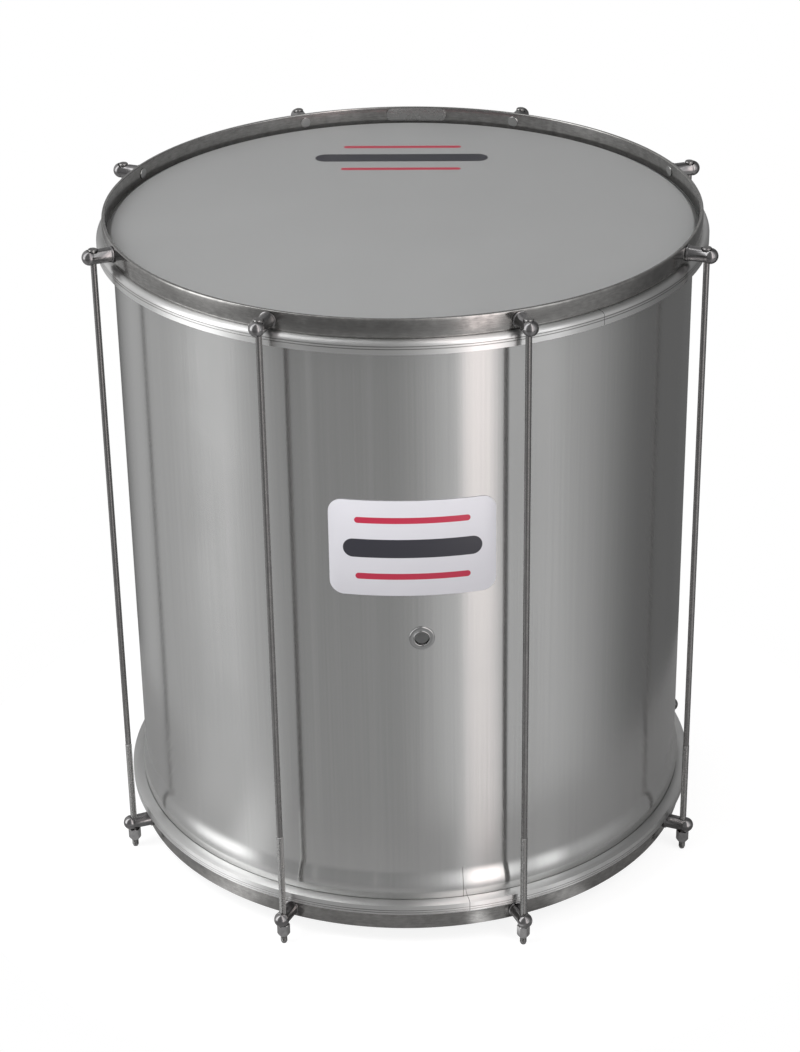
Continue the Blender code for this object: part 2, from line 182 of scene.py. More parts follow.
def make_round_grain():
    """Grain that wraps the drum without a seam, finer or longer round it and up it."""
    group, entry, leave = new_group(
        "round_grain", {"Round": "Float", "Up": "Float", "Detail": "Float"}, {"Grain": "Float"})
    place = add_node(group, "ShaderNodeTexCoord").outputs["Object"]
    parts = add_node(group, "ShaderNodeSeparateXYZ", {0: place}).outputs
    level = add_node(group, "ShaderNodeCombineXYZ", {"X": parts["X"], "Y": parts["Y"]}).outputs[0]
    unit = add_node(group, "ShaderNodeVectorMath", {0: level}, operation="NORMALIZE").outputs[0]
    scaled = add_node(group, "ShaderNodeVectorMath", {0: unit, "Scale": entry["Round"]},
                      operation="SCALE").outputs[0]
    reach = add_node(group, "ShaderNodeVectorMath", {0: level}, operation="LENGTH").outputs["Value"]
    height = maths(group, "MULTIPLY", maths(group, "ADD", parts["Z"], reach), entry["Up"])
    lift = add_node(group, "ShaderNodeCombineXYZ", {"Z": height}).outputs[0]
    point = add_node(group, "ShaderNodeVectorMath", {0: scaled, 1: lift}, operation="ADD").outputs[0]
    noise = add_node(group, "ShaderNodeTexNoise", {"Vector": point, "Scale": 1.0, "Detail": entry["Detail"]})
    group.links.new(noise.outputs["Fac"], leave["Grain"])
    return group


def make_handling_marks():
    """Soft patches from handling, on two scales, and the odd fine speck."""
    group, entry, leave = new_group(
        "handling_marks", {"Patch Size": "Float"}, {"Patches": "Float", "Specks": "Float"})
    place = add_node(group, "ShaderNodeTexCoord").outputs["Object"]
    scale = maths(group, "DIVIDE", 1.0, entry["Patch Size"])
    wide = add_node(group, "ShaderNodeTexNoise", {"Vector": place, "Scale": scale, "Detail": 4.0})
    group.links.new(wide.outputs["Fac"], leave["Patches"])
    speck_scale = maths(group, "MULTIPLY", scale, 12.0)
    cells = add_node(group, "ShaderNodeTexVoronoi", {"Vector": place, "Scale": speck_scale})
    near = spread(group, cells.outputs["Distance"], 0.05, 0.09, 1.0, 0.0)
    chosen = add_node(group, "ShaderNodeSeparateColor", {0: cells.outputs["Color"]}).outputs[0]
    rare = maths(group, "GREATER_THAN", chosen, 0.8)
    group.links.new(maths(group, "MULTIPLY", near, rare), leave["Specks"])
    return group


round_grain = make_round_grain()
handling_marks = make_handling_marks()


def start_material(name, colour, roughness, metallic):
    """A Principled material with its plain values set, and its tree and shader."""
    material = bpy.data.materials.new(name)
    material.use_nodes = True
    tree = material.node_tree
    shader = tree.nodes["Principled BSDF"]
    shader.inputs["Base Color"].default_value = (*colour, 1)
    shader.inputs["Roughness"].default_value = roughness
    shader.inputs["Metallic"].default_value = metallic
    return material, tree, shader


def mix_colours(tree, mask, under, over):
    """Lay one colour over another where a mask is 1. Each is a colour or the socket that makes it."""
    mixed = add_node(tree, "ShaderNodeMix", {"Factor": mask}, data_type="RGBA")
    sockets = [socket for socket in mixed.inputs if socket.type == "RGBA"]
    for socket, colour in zip(sockets, (under, over)):
        if isinstance(colour, bpy.types.NodeSocket):
            tree.links.new(colour, socket)
        else:
            socket.default_value = (*colour, 1)
    return next(socket for socket in mixed.outputs if socket.type == "RGBA")


def angle_from_front(tree):
    """The angle round the drum from its front, toward the right."""
    place = add_node(tree, "ShaderNodeTexCoord").outputs["Object"]
    parts = add_node(tree, "ShaderNodeSeparateXYZ", {0: place}).outputs
    front = maths(tree, "MULTIPLY", parts["Y"], -1.0)
    return maths(tree, "ARCTAN2", parts["X"], front), parts["Z"]


def seam_mask(tree, seam_angle, radius, width):
    """A thin upright line at an angle round the drum."""
    angle, _ = angle_from_front(tree)
    away = maths(tree, "ABSOLUTE", maths(tree, "SUBTRACT", angle, seam_angle))
    half = width / 2 / radius
    return spread(tree, away, half * 0.5, half, 1.0, 0.0)


def brush_round(tree, shader, amount):
    """Stretch the highlights across lines that run round the drum."""
    shader.inputs["Anisotropic"].default_value = amount
    shader.inputs["Anisotropic Rotation"].default_value = 0.25
    around = add_node(tree, "ShaderNodeTangent", direction_type="RADIAL", axis="Z")
    tree.links.new(around.outputs[0], shader.inputs["Tangent"])


def make_satin_aluminium():
    material, tree, shader = start_material("satin_aluminium", (0.6, 0.6, 0.595), 0.2, 0.95)
    streaks = use_group(tree, round_grain, {"Round": 150.0, "Up": 4.0, "Detail": 4.0}).outputs["Grain"]
    haze = use_group(tree, handling_marks, {"Patch Size": 0.09}).outputs["Patches"]
    seam_top = MIDDLE_Z - SHELL_HALF_HEIGHT + CREST_HEIGHTS["bottom"] + FLARE_LENGTHS["bottom"]
    below = spread(tree, angle_from_front(tree)[1], seam_top - 0.002, seam_top, 1.0, 0.0)
    seam = maths(tree, "MULTIPLY", seam_mask(tree, SHELL_SEAM_ANGLE, SHELL_RADIUS, 0.0007), below)
    metal = mix_colours(tree, streaks, (0.56, 0.565, 0.56), (0.64, 0.64, 0.635))
    tree.links.new(mix_colours(tree, seam, metal, (0.2, 0.19, 0.18)), shader.inputs["Base Color"])
    tree.links.new(spread(tree, haze, 0.3, 0.7, 0.15, 0.175), shader.inputs["Roughness"])
    bump = add_node(tree, "ShaderNodeBump", {"Height": streaks, "Strength": 0.02, "Distance": 0.0002})
    tree.links.new(bump.outputs[0], shader.inputs["Normal"])
    brush_round(tree, shader, 1.0)
    return material


def shell_side(offset, end):
    """One side of the sheet at one end: flange, bearing edge, lip, crest and flare, to the wall."""
    bend = EDGE_BEND_RADIUS
    edge_radius = LIP_RADIUS - 0.0008
    crest_radius, crest = CREST_RADII[end], CREST_HEIGHTS[end]
    points = [(EDGE_FLANGE_RADIUS, -offset)] + arc(edge_radius - bend, -bend, bend - offset, 90, 0, 8)
    points += [(edge_radius - offset, -crest * 0.45), (LIP_RADIUS - offset, -crest * 0.68)]
    steps = 16
    for k in range(steps + 1):
        blend = (1 - cos(pi * k / steps)) / 2
        radius = crest_radius + (SHELL_RADIUS - crest_radius) * blend
        points.append((radius - offset, -crest - FLARE_LENGTHS[end] * k / steps))
    return points


def disc_cutter(radius, depth, steps, place):
    shape = bmesh.new()
    bmesh.ops.create_cone(shape, cap_ends=True, segments=steps, radius1=radius, radius2=radius, depth=depth)
    bmesh.ops.transform(shape, matrix=place, verts=shape.verts)
    return shape


def make_shell_mesh():
    half = SHELL_HALF_HEIGHT
    sides = []
    for offset in (0, SHEET):
        upper = [(r, half + z) for r, z in shell_side(offset, "top")]
        lower = [(r, -half - z) for r, z in shell_side(offset, "bottom")]
        sides.append(upper + lower[::-1])
    outer, inner = sides
    section = [(r, z + MIDDLE_Z) for r, z in outer + inner[::-1]]
    hole_place = frame_toward(VENT_ANGLE, direction(VENT_ANGLE) * SHELL_RADIUS + Vector((0, 0, MIDDLE_Z)))
    return cut(mesh_from("shell", turn(section)),
               ("DIFFERENCE", disc_cutter(VENT_HOLE_RADIUS, 0.02, 48, hole_place)))


satin_aluminium = make_satin_aluminium()
fit_piece("shell", make_shell_mesh(), satin_aluminium, "shell")


# Vent eyelet: a plated steel eyelet pushed through the shell and rolled over inside. Its
# flange stands just off the sheet, and its bore lets the air out.
VENT_BORE_RADIUS = 0.0062
VENT_FLANGE_RADIUS = 0.0109
# Lighter plating: cleaner on the studs' riveted ends, and a partly painted highlight on the rods' thread.
CLEAN_PLATING_AND_GLINT = (0.46, 0.46, 0.455)


def make_eyelet_mesh():
    lip = arc(0.0068, 0.0012, 0.0006, 180, 0, 8)
    flange_edge = arc(VENT_FLANGE_RADIUS - 0.0010, 0.0001, 0.0010, 90, -5, 7)
    section = lip + [(0.0075, 0.0010)] + flange_edge + [
        (0.0072, 0.0), (0.0072, -0.0016), (0.0093, -0.0017), (0.0093, -0.0023),
        (0.0067, -0.0026), (VENT_BORE_RADIUS, -0.0020)]
    shape = turn(section, 64)
    out = direction(VENT_ANGLE) * (SHELL_RADIUS + 0.0001) + Vector((0, 0, MIDDLE_Z))
    bmesh.ops.transform(shape, matrix=frame_toward(VENT_ANGLE, out), verts=shape.verts)
    return mesh_from("vent_eyelet", shape)


def make_plated_steel(name, dark, light, roughness, patch, grain, bright_mask=None):
    """Zinc-plated steel: cloudy plating with fine drawn lines and the odd bright speck.

    Where it is given, the mask function is called with the tree and marks where the plating is lighter in colour:
    cleaner plating on the studs' riveted ends, and a painted highlight on the rods' threaded end."""
    material, tree, shader = start_material(name, light, roughness, 1.0)
    marks = use_group(tree, handling_marks, {"Patch Size": patch}).outputs
    lines = use_group(tree, round_grain, grain).outputs["Grain"]
    cloudy = maths(tree, "MULTIPLY_ADD", lines, 0.5, maths(tree, "MULTIPLY", marks["Patches"], 0.5))
    tone = spread(tree, cloudy, 0.36, 0.64)
    colour = mix_colours(tree, tone, dark, light)
    if bright_mask:
        colour = mix_colours(tree, bright_mask(tree), colour, CLEAN_PLATING_AND_GLINT)
    tree.links.new(colour, shader.inputs["Base Color"])
    worn = maths(tree, "SUBTRACT", roughness + 0.08, maths(tree, "MULTIPLY", tone, 0.12))
    brighter = maths(tree, "SUBTRACT", worn, maths(tree, "MULTIPLY", marks["Specks"], 0.12))
    tree.links.new(brighter, shader.inputs["Roughness"])
    bump = add_node(tree, "ShaderNodeBump", {"Height": cloudy, "Strength": 0.008, "Distance": 0.0003})
    tree.links.new(bump.outputs[0], shader.inputs["Normal"])
    return material


eyelet_steel = make_plated_steel(
    "eyelet_steel", (0.38, 0.38, 0.38), (0.46, 0.46, 0.46), 0.05, 0.004, {"Round": 300.0, "Up": 800.0, "Detail": 2.0})
fit_piece("vent_eyelet", make_eyelet_mesh(), eyelet_steel, "shell")


# Label: a sheet of white film with rounded corners, stuck to the shell above the vent. It is
# printed with plain bars only.
LABEL_ANGLE = radians(2.9)
LABEL_WIDTH = 0.1400
LABEL_HEIGHT = 0.0880
LABEL_CORNER = 0.0120
LABEL_THICKNESS = 0.0004
LABEL_RADIUS = SHELL_RADIUS + 0.0003
PRINT_RED = (0.50, 0.03, 0.07)
PRINT_DARK = (0.035, 0.035, 0.045)
label_low, label_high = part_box("blank_label")
LABEL_Z = (label_low.z + label_high.z) / 2


def make_printed_bar():
    """A round-cornered bar on a flat or unrolled place in metres: 1 on the ink, 0 off it."""
    group, entry, leave = new_group(
        "printed_bar", {"Across": "Float", "Up": "Float", "Half Width": "Float", "Half Height": "Float",
                        "Corner": "Float"}, {"Ink": "Float"})
    past = []
    for place, half in (("Across", "Half Width"), ("Up", "Half Height")):
        size = maths(group, "SUBTRACT", entry[half], entry["Corner"])
        beyond = maths(group, "SUBTRACT", maths(group, "ABSOLUTE", entry[place]), size)
        past.append(beyond)
    outside = [maths(group, "MAXIMUM", value, 0.0) for value in past]
    squares = [maths(group, "MULTIPLY", value, value) for value in outside]
    reach = maths(group, "SQRT", maths(group, "ADD", *squares))
    inside = maths(group, "MINIMUM", maths(group, "MAXIMUM", *past), 0.0)
    edge = maths(group, "SUBTRACT", maths(group, "ADD", reach, inside), entry["Corner"])
    group.links.new(spread(group, edge, -0.0001, 0.0001, 1.0, 0.0), leave["Ink"])
    return group


printed_bar = make_printed_bar()


def print_bars(tree, ground, across, up, bars):
    """Lay bars of ink over a ground colour. Each bar is its height, half sizes and ink."""
    colour = ground
    for height, half_width, half_height, ink in bars:
        level = maths(tree, "SUBTRACT", up, height)
        mask = use_group(tree, printed_bar, {
            "Across": across, "Up": level, "Half Width": half_width, "Half Height": half_height,
            "Corner": half_height}).outputs["Ink"]
        colour = mix_colours(tree, mask, colour, ink)
    return colour


def make_label_film():
    material, tree, shader = start_material("label_film", (0.78, 0.77, 0.82), 0.35, 0.0)
    angle, height = angle_from_front(tree)
    across = maths(tree, "MULTIPLY", maths(tree, "SUBTRACT", angle, LABEL_ANGLE), LABEL_RADIUS)
    up = maths(tree, "SUBTRACT", height, LABEL_Z)
    paper = use_group(tree, handling_marks, {"Patch Size": 0.03}).outputs["Patches"]
    ground = mix_colours(tree, paper, (0.68, 0.68, 0.725), (0.72, 0.72, 0.765))
    bars = [(0.026, 0.048, 0.0028, PRINT_RED), (0.0, 0.058, 0.0085, PRINT_DARK),
            (-0.026, 0.048, 0.0028, PRINT_RED)]
    tree.links.new(print_bars(tree, ground, across, up, bars), shader.inputs["Base Color"])
    tree.links.new(spread(tree, paper, 0.3, 0.7, 0.32, 0.40), shader.inputs["Roughness"])
    return material


def bend_plate(inner_radius, thickness, width, height, corner, angle, middle_z):
    """A flat plate with rounded corners, wrapped round the drum's axis."""
    shape = bmesh.new()
    bmesh.ops.create_cube(shape, size=1.0, matrix=Matrix.Diagonal((width, thickness, height, 1)))
    uprights = [e for e in shape.edges if abs(e.verts[0].co.y - e.verts[1].co.y) > thickness / 2]
    bmesh.ops.bevel(shape, geom=uprights, offset=corner, offset_type="OFFSET", segments=10,
                    profile=0.5, affect="EDGES", material=-1)
    rims = [e for e in shape.edges if abs(e.verts[0].co.y - e.verts[1].co.y) < thickness / 4]
    bmesh.ops.bevel(shape, geom=rims, offset=thickness * 0.2, offset_type="OFFSET", segments=2,
                    profile=0.5, affect="EDGES", material=-1)
    slices = 40
    for k in range(1, slices):
        cut_x = width * (k / slices - 0.5)
        bmesh.ops.bisect_plane(shape, geom=shape.verts[:] + shape.edges[:] + shape.faces[:],
                               dist=0.000001, plane_co=(cut_x, 0, 0), plane_no=(1, 0, 0))
    for vert in shape.verts:
        radius = inner_radius + thickness / 2 - vert.co.y
        around = angle + vert.co.x / inner_radius
        vert.co = direction(around) * radius + Vector((0, 0, middle_z + vert.co.z))
    return shape


label_shape = bend_plate(LABEL_RADIUS, LABEL_THICKNESS, LABEL_WIDTH, LABEL_HEIGHT, LABEL_CORNER, LABEL_ANGLE, LABEL_Z)
fit_piece("blank_label", mesh_from("label", label_shape), make_label_film(), "shell", 60)


# Heads: a disc of satin plastic film at each end. Its rim is bent down over the shell's edge
# and held in the flesh hoop. The upper one has a plain printed mark near its back.
FILM = 0.0004
HEAD_DROP = 0.0056
SKIRT_RADIUS = 0.2584
SKIRT_END_DROP = 0.0130
MARK_FROM_AXIS = 0.154
LUG_PLANES = {"top": (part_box("top_counterhoop")[0].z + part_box("top_counterhoop")[1].z) / 2,
              "bottom": (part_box("bottom_counterhoop")[0].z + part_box("bottom_counterhoop")[1].z) / 2}


def at_end(section, end):
    """Place a section drawn for the top end, whose heights start at the lugs."""
    sign = 1 if end == "top" else -1
    placed = [(r, LUG_PLANES[end] + sign * z) for r, z in section]
    return placed if sign > 0 else placed[::-1]


def make_head_mesh(end):
    bend = arc(0.2530, -HEAD_DROP - 0.0022, 0.0022, 90, 35, 5)
    outside = [(0.0, -HEAD_DROP)] + bend
    outside += [(SKIRT_RADIUS, -0.0096), (SKIRT_RADIUS, -SKIRT_END_DROP)]
    inner_bend = arc(0.2530, -HEAD_DROP - 0.0022, 0.0022 - FILM, 35, 90, 5)
    inside = [(SKIRT_RADIUS - FILM, -SKIRT_END_DROP), (SKIRT_RADIUS - FILM, -0.0098)]
    inside += inner_bend + [(0.0, -HEAD_DROP - FILM)]
    return mesh_from("head", turn(at_end(outside + inside, end)))


def make_head_film():
    material, tree, shader = start_material("head_film", (0.37, 0.375, 0.375), 0.42, 0.0)
    place = add_node(tree, "ShaderNodeTexCoord").outputs["Object"]
    parts = add_node(tree, "ShaderNodeSeparateXYZ", {0: place}).outputs
    marks = use_group(tree, handling_marks, {"Patch Size": 0.06}).outputs
    ground = mix_colours(tree, marks["Patches"], (0.355, 0.36, 0.36), (0.385, 0.39, 0.39))
    up = maths(tree, "SUBTRACT", parts["Y"], MARK_FROM_AXIS)
    bars = [(0.030, 0.055, 0.0030, PRINT_RED), (0.0, 0.080, 0.0100, PRINT_DARK),
            (-0.030, 0.055, 0.0030, PRINT_RED)]
    across = maths(tree, "ADD", parts["X"], 0.005)
    printed = print_bars(tree, ground, across, up, bars)
    dust = maths(tree, "MULTIPLY", marks["Specks"], 0.35)
    tree.links.new(mix_colours(tree, dust, printed, (0.7, 0.7, 0.7)), shader.inputs["Base Color"])
    tree.links.new(spread(tree, marks["Patches"], 0.3, 0.7, 0.38, 0.48), shader.inputs["Roughness"])
    through = add_node(tree, "ShaderNodeBsdfTranslucent", {"Color": (0.9, 0.9, 0.9, 1)})
    both = add_node(tree, "ShaderNodeMixShader", {0: 0.35, 1: shader.outputs[0], 2: through.outputs[0]})
    tree.links.new(both.outputs[0], tree.nodes["Material Output"].inputs["Surface"])
    return material


head_film = make_head_film()
for end in LUG_PLANES:
    fit_piece(end + "_head", make_head_mesh(end), head_film, end + "_ring", 40,
              also=[end + "_head_rim"])


# Flesh hoops: an extruded aluminium ring that grips the film's rim. It has a rounded shoulder,
# two fine grooves round its outside and a flat foot, and its ends are butted together.
FLESH_INNER_RADIUS = 0.2571
FLESH_OUTER_RADIUS = 0.2673
FLESH_TOP = -0.00865
FLESH_FOOT = -0.0205
FLESH_SEAM_ANGLES = {"top": radians(39.0), "bottom": radians(12.8)}
GROOVES = (-0.0127, -0.0149)


def groove(height):
    """A fine round-bottomed groove in the ring's outer face."""
    half, depth = 0.00045, 0.0005
    return [(FLESH_OUTER_RADIUS, height + half), (FLESH_OUTER_RADIUS - depth, height + half * 0.4),
            (FLESH_OUTER_RADIUS - depth, height - half * 0.4), (FLESH_OUTER_RADIUS, height - half)]


def make_flesh_hoop_mesh(end):
    shoulder_r, shoulder_z = 0.0044, 0.0036
    centre_r, centre_z = FLESH_OUTER_RADIUS - shoulder_r, FLESH_TOP - shoulder_z
    steps = 10
    angles = [radians(90 - 90 * k / steps) for k in range(steps + 1)]
    shoulder = [(centre_r + shoulder_r * cos(a), centre_z + shoulder_z * sin(a)) for a in angles]
    middle_r, half_width, sag = 0.2622, 0.0051, 0.0008
    shares = [1 - 2 * k / steps for k in range(steps + 1)]
    foot = [(middle_r + half_width * share, FLESH_FOOT + sag * share ** 2) for share in shares]
    section = [(0.2587, FLESH_TOP)] + shoulder
    section += groove(GROOVES[0]) + groove(GROOVES[1]) + foot
    section += [(FLESH_INNER_RADIUS, -0.0099), (0.2577, -0.0099), (0.2577, -0.01365), (0.2587, -0.01365)]
    return mesh_from("flesh_hoop", turn(at_end(section, end)))


def make_drawn_aluminium():
    material, tree, shader = start_material("drawn_aluminium", (0.74, 0.74, 0.735), 0.24, 1.0)
    lines = use_group(tree, round_grain, {"Round": 2.0, "Up": 1800.0, "Detail": 2.0}).outputs["Grain"]
    marks = use_group(tree, handling_marks, {"Patch Size": 0.02}).outputs
    height = angle_from_front(tree)[1]
    seam_angle = spread(tree, height, MIDDLE_Z, MIDDLE_Z + 0.01, FLESH_SEAM_ANGLES["bottom"], FLESH_SEAM_ANGLES["top"])
    seam = seam_mask(tree, seam_angle, FLESH_OUTER_RADIUS, 0.0006)
    metal = mix_colours(tree, lines, (0.70, 0.70, 0.695), (0.82, 0.82, 0.815))
    from_middle = maths(tree, "ABSOLUTE", maths(tree, "SUBTRACT", height, MIDDLE_Z))
    # Painted shade: the colour is darkened along the two fine grooves, where shade falls in them.
    for drop in GROOVES:
        away = maths(tree, "ABSOLUTE", maths(tree, "SUBTRACT", from_middle, LUG_PLANES["top"] - MIDDLE_Z + drop))
        painted_groove_shade = spread(tree, away, 0.00025, 0.0005, 1.0, 0.0)
        metal = mix_colours(tree, painted_groove_shade, metal, (0.42, 0.415, 0.41))
    tree.links.new(mix_colours(tree, seam, metal, (0.12, 0.115, 0.11)), shader.inputs["Base Color"])
    tree.links.new(spread(tree, marks["Patches"], 0.3, 0.7, 0.31, 0.36), shader.inputs["Roughness"])
    bump = add_node(tree, "ShaderNodeBump", {"Height": lines, "Strength": 0.02, "Distance": 0.0002})
    tree.links.new(bump.outputs[0], shader.inputs["Normal"])
    brush_round(tree, shader, 1.0)
    return material


drawn_aluminium = make_drawn_aluminium()
for end in LUG_PLANES:
    fit_piece(end + "_flesh_hoop", make_flesh_hoop_mesh(end), drawn_aluminium, end + "_ring", 25)


# Counterhoops: flat steel bar bent edge-up into a ring, welded and zinc plated. A plate with
# round ends backs the joint on the inside.
HOOP_OUTER_RADIUS = 0.2617
HOOP_INNER_RADIUS = 0.2585
HOOP_HEIGHT = 0.0167
HOOP_CROWN = 0.0003
PLATE_LENGTH = 0.0570
PLATE_WIDTH = 0.0125
PLATE_THICKNESS = 0.0016
JOINT_ANGLE = radians(178.6)


def make_counterhoop_mesh(end):
    half = HOOP_HEIGHT / 2
    shares = [1 - k / 3 for k in range(7)]
    section = [(HOOP_OUTER_RADIUS - HOOP_CROWN * share ** 2, half * share) for share in shares]
    section += [(HOOP_INNER_RADIUS, -half), (HOOP_INNER_RADIUS, half)]
    return mesh_from("counterhoop", turn(at_end(section, end), corner=0.0008))


hoop_steel = make_plated_steel(
    "hoop_steel", (0.27, 0.265, 0.26), (0.40, 0.395, 0.385), 0.14, 0.007, {"Round": 40.0, "Up": 900.0, "Detail": 3.0})
plate_steel = make_plated_steel(
    "plate_steel", (0.40, 0.395, 0.39), (0.46, 0.455, 0.45), 0.24, 0.010, {"Round": 40.0, "Up": 900.0, "Detail": 3.0})
for end in LUG_PLANES:
    fit_piece(end + "_counterhoop", make_counterhoop_mesh(end), hoop_steel, end + "_ring")
    plate_low, plate_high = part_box(end + "_joint_plate")
    plate = bend_plate(HOOP_INNER_RADIUS - 0.0003 - PLATE_THICKNESS, PLATE_THICKNESS, PLATE_LENGTH,
                       PLATE_WIDTH, PLATE_WIDTH * 0.45, JOINT_ANGLE, (plate_low.z + plate_high.z) / 2)
    fit_piece(end + "_joint_plate", mesh_from("plate", plate), plate_steel, end + "_ring")


# Lugs: turned steel studs with a rounded end. The shank goes through the hoop and is riveted
# over inside, and a cross hole takes the rod. The upper ones have a seat for the rod's head.
ROD_COUNT = 8
ROD_CIRCLE_RADIUS = 0.2785
LUG_RADIUS = 0.0065
LUG_LENGTH = 0.0266
BALL_RADIUS = 0.0068
LUG_FACE = HOOP_OUTER_RADIUS
ROD_HOLE_RADIUS = 0.0034
SEAT_RADIUS = 0.0050
SEAT_UP = 0.0044
NUT_SEAT_RADIUS = 0.0062
NUT_SEAT_DOWN = 0.0063


def lug_angle(number):
    return 2 * pi * (number - 0.5) / ROD_COUNT


def lug_section():
    """Half of the lug's outline: radius, and distance out from the hoop's outer face."""
    ball = arc(0.0, LUG_LENGTH - BALL_RADIUS, BALL_RADIUS, 90, -24, 16)
    ball[0] = (0.0, LUG_LENGTH)
    through = HOOP_INNER_RADIUS - HOOP_OUTER_RADIUS
    rivet = [(0.0030, through - 0.0002), (0.0049, through - 0.0002), (0.0050, through - 0.0006),
             (0.0047, through - 0.0009), (0.0040, through - 0.0010), (0.0, through - 0.0011)]
    base = [(LUG_RADIUS, 0.0024), (0.0066, 0.0017), (0.0072, 0.0014), (0.0073, 0.0010), (0.0073, 0.0002),
            (0.0031, 0.0001)]
    return ball + base + rivet


def make_lug_mesh(end):
    """A lug along local Z, with the rod's hole along local X, which becomes upright."""
    shape = bmesh.new()
    outline = [shape.verts.new((r, 0, z)) for r, z in lug_section()]
    sides = [shape.edges.new(pair) for pair in zip(outline, outline[1:])]
    bmesh.ops.spin(shape, geom=outline + sides, cent=(0, 0, 0), axis=(0, 0, 1), angle=2 * pi,
                   steps=40, use_merge=True)
    bmesh.ops.remove_doubles(shape, verts=shape.verts, dist=0.000001)
    bmesh.ops.recalc_face_normals(shape, faces=shape.faces)
    reach = ROD_CIRCLE_RADIUS - LUG_FACE
    level = Matrix.Translation((0, 0, reach)) @ Matrix.Rotation(pi / 2, 4, "Y")
    cuts = [("DIFFERENCE", disc_cutter(ROD_HOLE_RADIUS, 0.04, 32, level))]
    seat_radius, seat_level = (SEAT_RADIUS, SEAT_UP) if end == "top" else (NUT_SEAT_RADIUS, -NUT_SEAT_DOWN)
    seat_middle = seat_level + (0.005 if end == "top" else -0.005)
    seat_place = Matrix.Translation((seat_middle, 0, reach)) @ Matrix.Rotation(pi / 2, 4, "Y")
    cuts.append(("DIFFERENCE", disc_cutter(seat_radius, 0.01, 40, seat_place)))
    return cut(mesh_from("lug", shape), *cuts)


def lug_frame(angle, height):
    """Local Z straight out of the drum and local X up, at the hoop's outer face."""
    out = direction(angle)
    up = Vector((0, 0, 1))
    turned = Matrix((up, out.cross(up), out)).transposed().to_4x4()
    place = out * LUG_FACE
    place.z = height
    return Matrix.Translation(place) @ turned


def inside_hoop(tree):
    """1 on the riveted ends inside the hoop, which the drumming has kept cleaner."""
    place = add_node(tree, "ShaderNodeTexCoord").outputs["Object"]
    parts = add_node(tree, "ShaderNodeSeparateXYZ", {0: place}).outputs
    squares = maths(tree, "MULTIPLY_ADD", parts["X"], parts["X"], maths(tree, "MULTIPLY", parts["Y"], parts["Y"]))
    return maths(tree, "LESS_THAN", squares, HOOP_INNER_RADIUS ** 2)


stud_steel = make_plated_steel(
    "stud_steel", (0.21, 0.205, 0.21), (0.29, 0.285, 0.285), 0.16, 0.005, {"Round": 150.0, "Up": 600.0, "Detail": 3.0},
    inside_hoop)
for end, plane in LUG_PLANES.items():
    pattern = make_lug_mesh(end)
    for number in range(1, ROD_COUNT + 1):
        lug = pattern.copy()
        lug.transform(lug_frame(lug_angle(number), plane))
        fit_piece(f"{end}_lug_{number}", lug, stud_steel, end + "_ring", 35)


# Rods: drawn steel rods hung by their heads in the upper lugs. The lower end is threaded for
# its nut, with a chamfered tip.
ROD_RADIUS = 0.00265
THREAD_RADIUS = 0.0030
THREAD_ROOT = 0.0026
THREAD_PITCH = 0.0010
THREAD_TOP = LUG_PLANES["bottom"] + 0.0870
ROD_HEAD_RADIUS = 0.0042
ROD_HEAD_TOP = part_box("tension_rod_1")[1].z
ROD_HEAD_UNDER = ROD_HEAD_TOP - 0.0030
TIP_CHAMFER = 0.0010


def make_rod_shape():
    """The rod's core and head, with the thread as a helical ridge round its lower end."""
    section = [
        (0.0, ROD_HEAD_TOP), (0.0022, ROD_HEAD_TOP - 0.0001), (0.0036, ROD_HEAD_TOP - 0.0005),
        (ROD_HEAD_RADIUS, ROD_HEAD_TOP - 0.0013), (ROD_HEAD_RADIUS, ROD_HEAD_UNDER + 0.0003),
        (ROD_HEAD_RADIUS - 0.0003, ROD_HEAD_UNDER), (ROD_RADIUS, ROD_HEAD_UNDER), (ROD_RADIUS, THREAD_TOP),
        (THREAD_ROOT, THREAD_TOP - 0.0006), (THREAD_ROOT, TIP_CHAMFER), (THREAD_ROOT - 0.0005, 0.0), (0.0, 0.0)]
    shape = bmesh.new()
    outline = [shape.verts.new((r, 0, z)) for r, z in section]
    sides = [shape.edges.new(pair) for pair in zip(outline, outline[1:])]
    bmesh.ops.spin(shape, geom=outline + sides, cent=(0, 0, 0), axis=(0, 0, 1), angle=2 * pi,
                   steps=28, use_merge=True)
    bmesh.ops.remove_doubles(shape, verts=shape.verts, dist=0.000001)
    bmesh.ops.recalc_face_normals(shape, faces=shape.faces)
    return shape


def make_thread_shape():
    turns = int((THREAD_TOP - TIP_CHAMFER) / THREAD_PITCH) - 1
    steps_per_turn = 18
    start = TIP_CHAMFER + THREAD_PITCH * 0.6
    foot = THREAD_ROOT - 0.00015
    shape = bmesh.new()
    ridge = [(foot, start - 0.00042), (THREAD_RADIUS, start - 0.00008), (THREAD_RADIUS, start + 0.00008),
             (foot, start + 0.00042)]
    corners = [shape.verts.new((r, 0, z)) for r, z in ridge]
    face = shape.faces.new(corners)
    steps = turns * steps_per_turn
    bmesh.ops.spin(shape, geom=corners + face.edges[:] + [face], cent=(0, 0, 0), axis=(0, 0, 1),
                   angle=2 * pi * turns, steps=steps, dvec=(0, 0, THREAD_PITCH / steps_per_turn))
    bmesh.ops.recalc_face_normals(shape, faces=shape.faces)
    return shape


def join_shapes(*shapes):
    """One mesh from several shapes."""
    whole = bmesh.new()
    for shape in shapes:
        part = mesh_from("part", shape)
        whole.from_mesh(part)
        bpy.data.meshes.remove(part)
    return whole


def on_thread(tree):
    """0.6 on the threaded end, which is lighter in colour: partly a fresher-cut finish, partly painted highlight for
    the light its flanks catch.
    """
    return spread(tree, angle_from_front(tree)[1], THREAD_TOP - 0.001, THREAD_TOP, 0.6, 0.0)


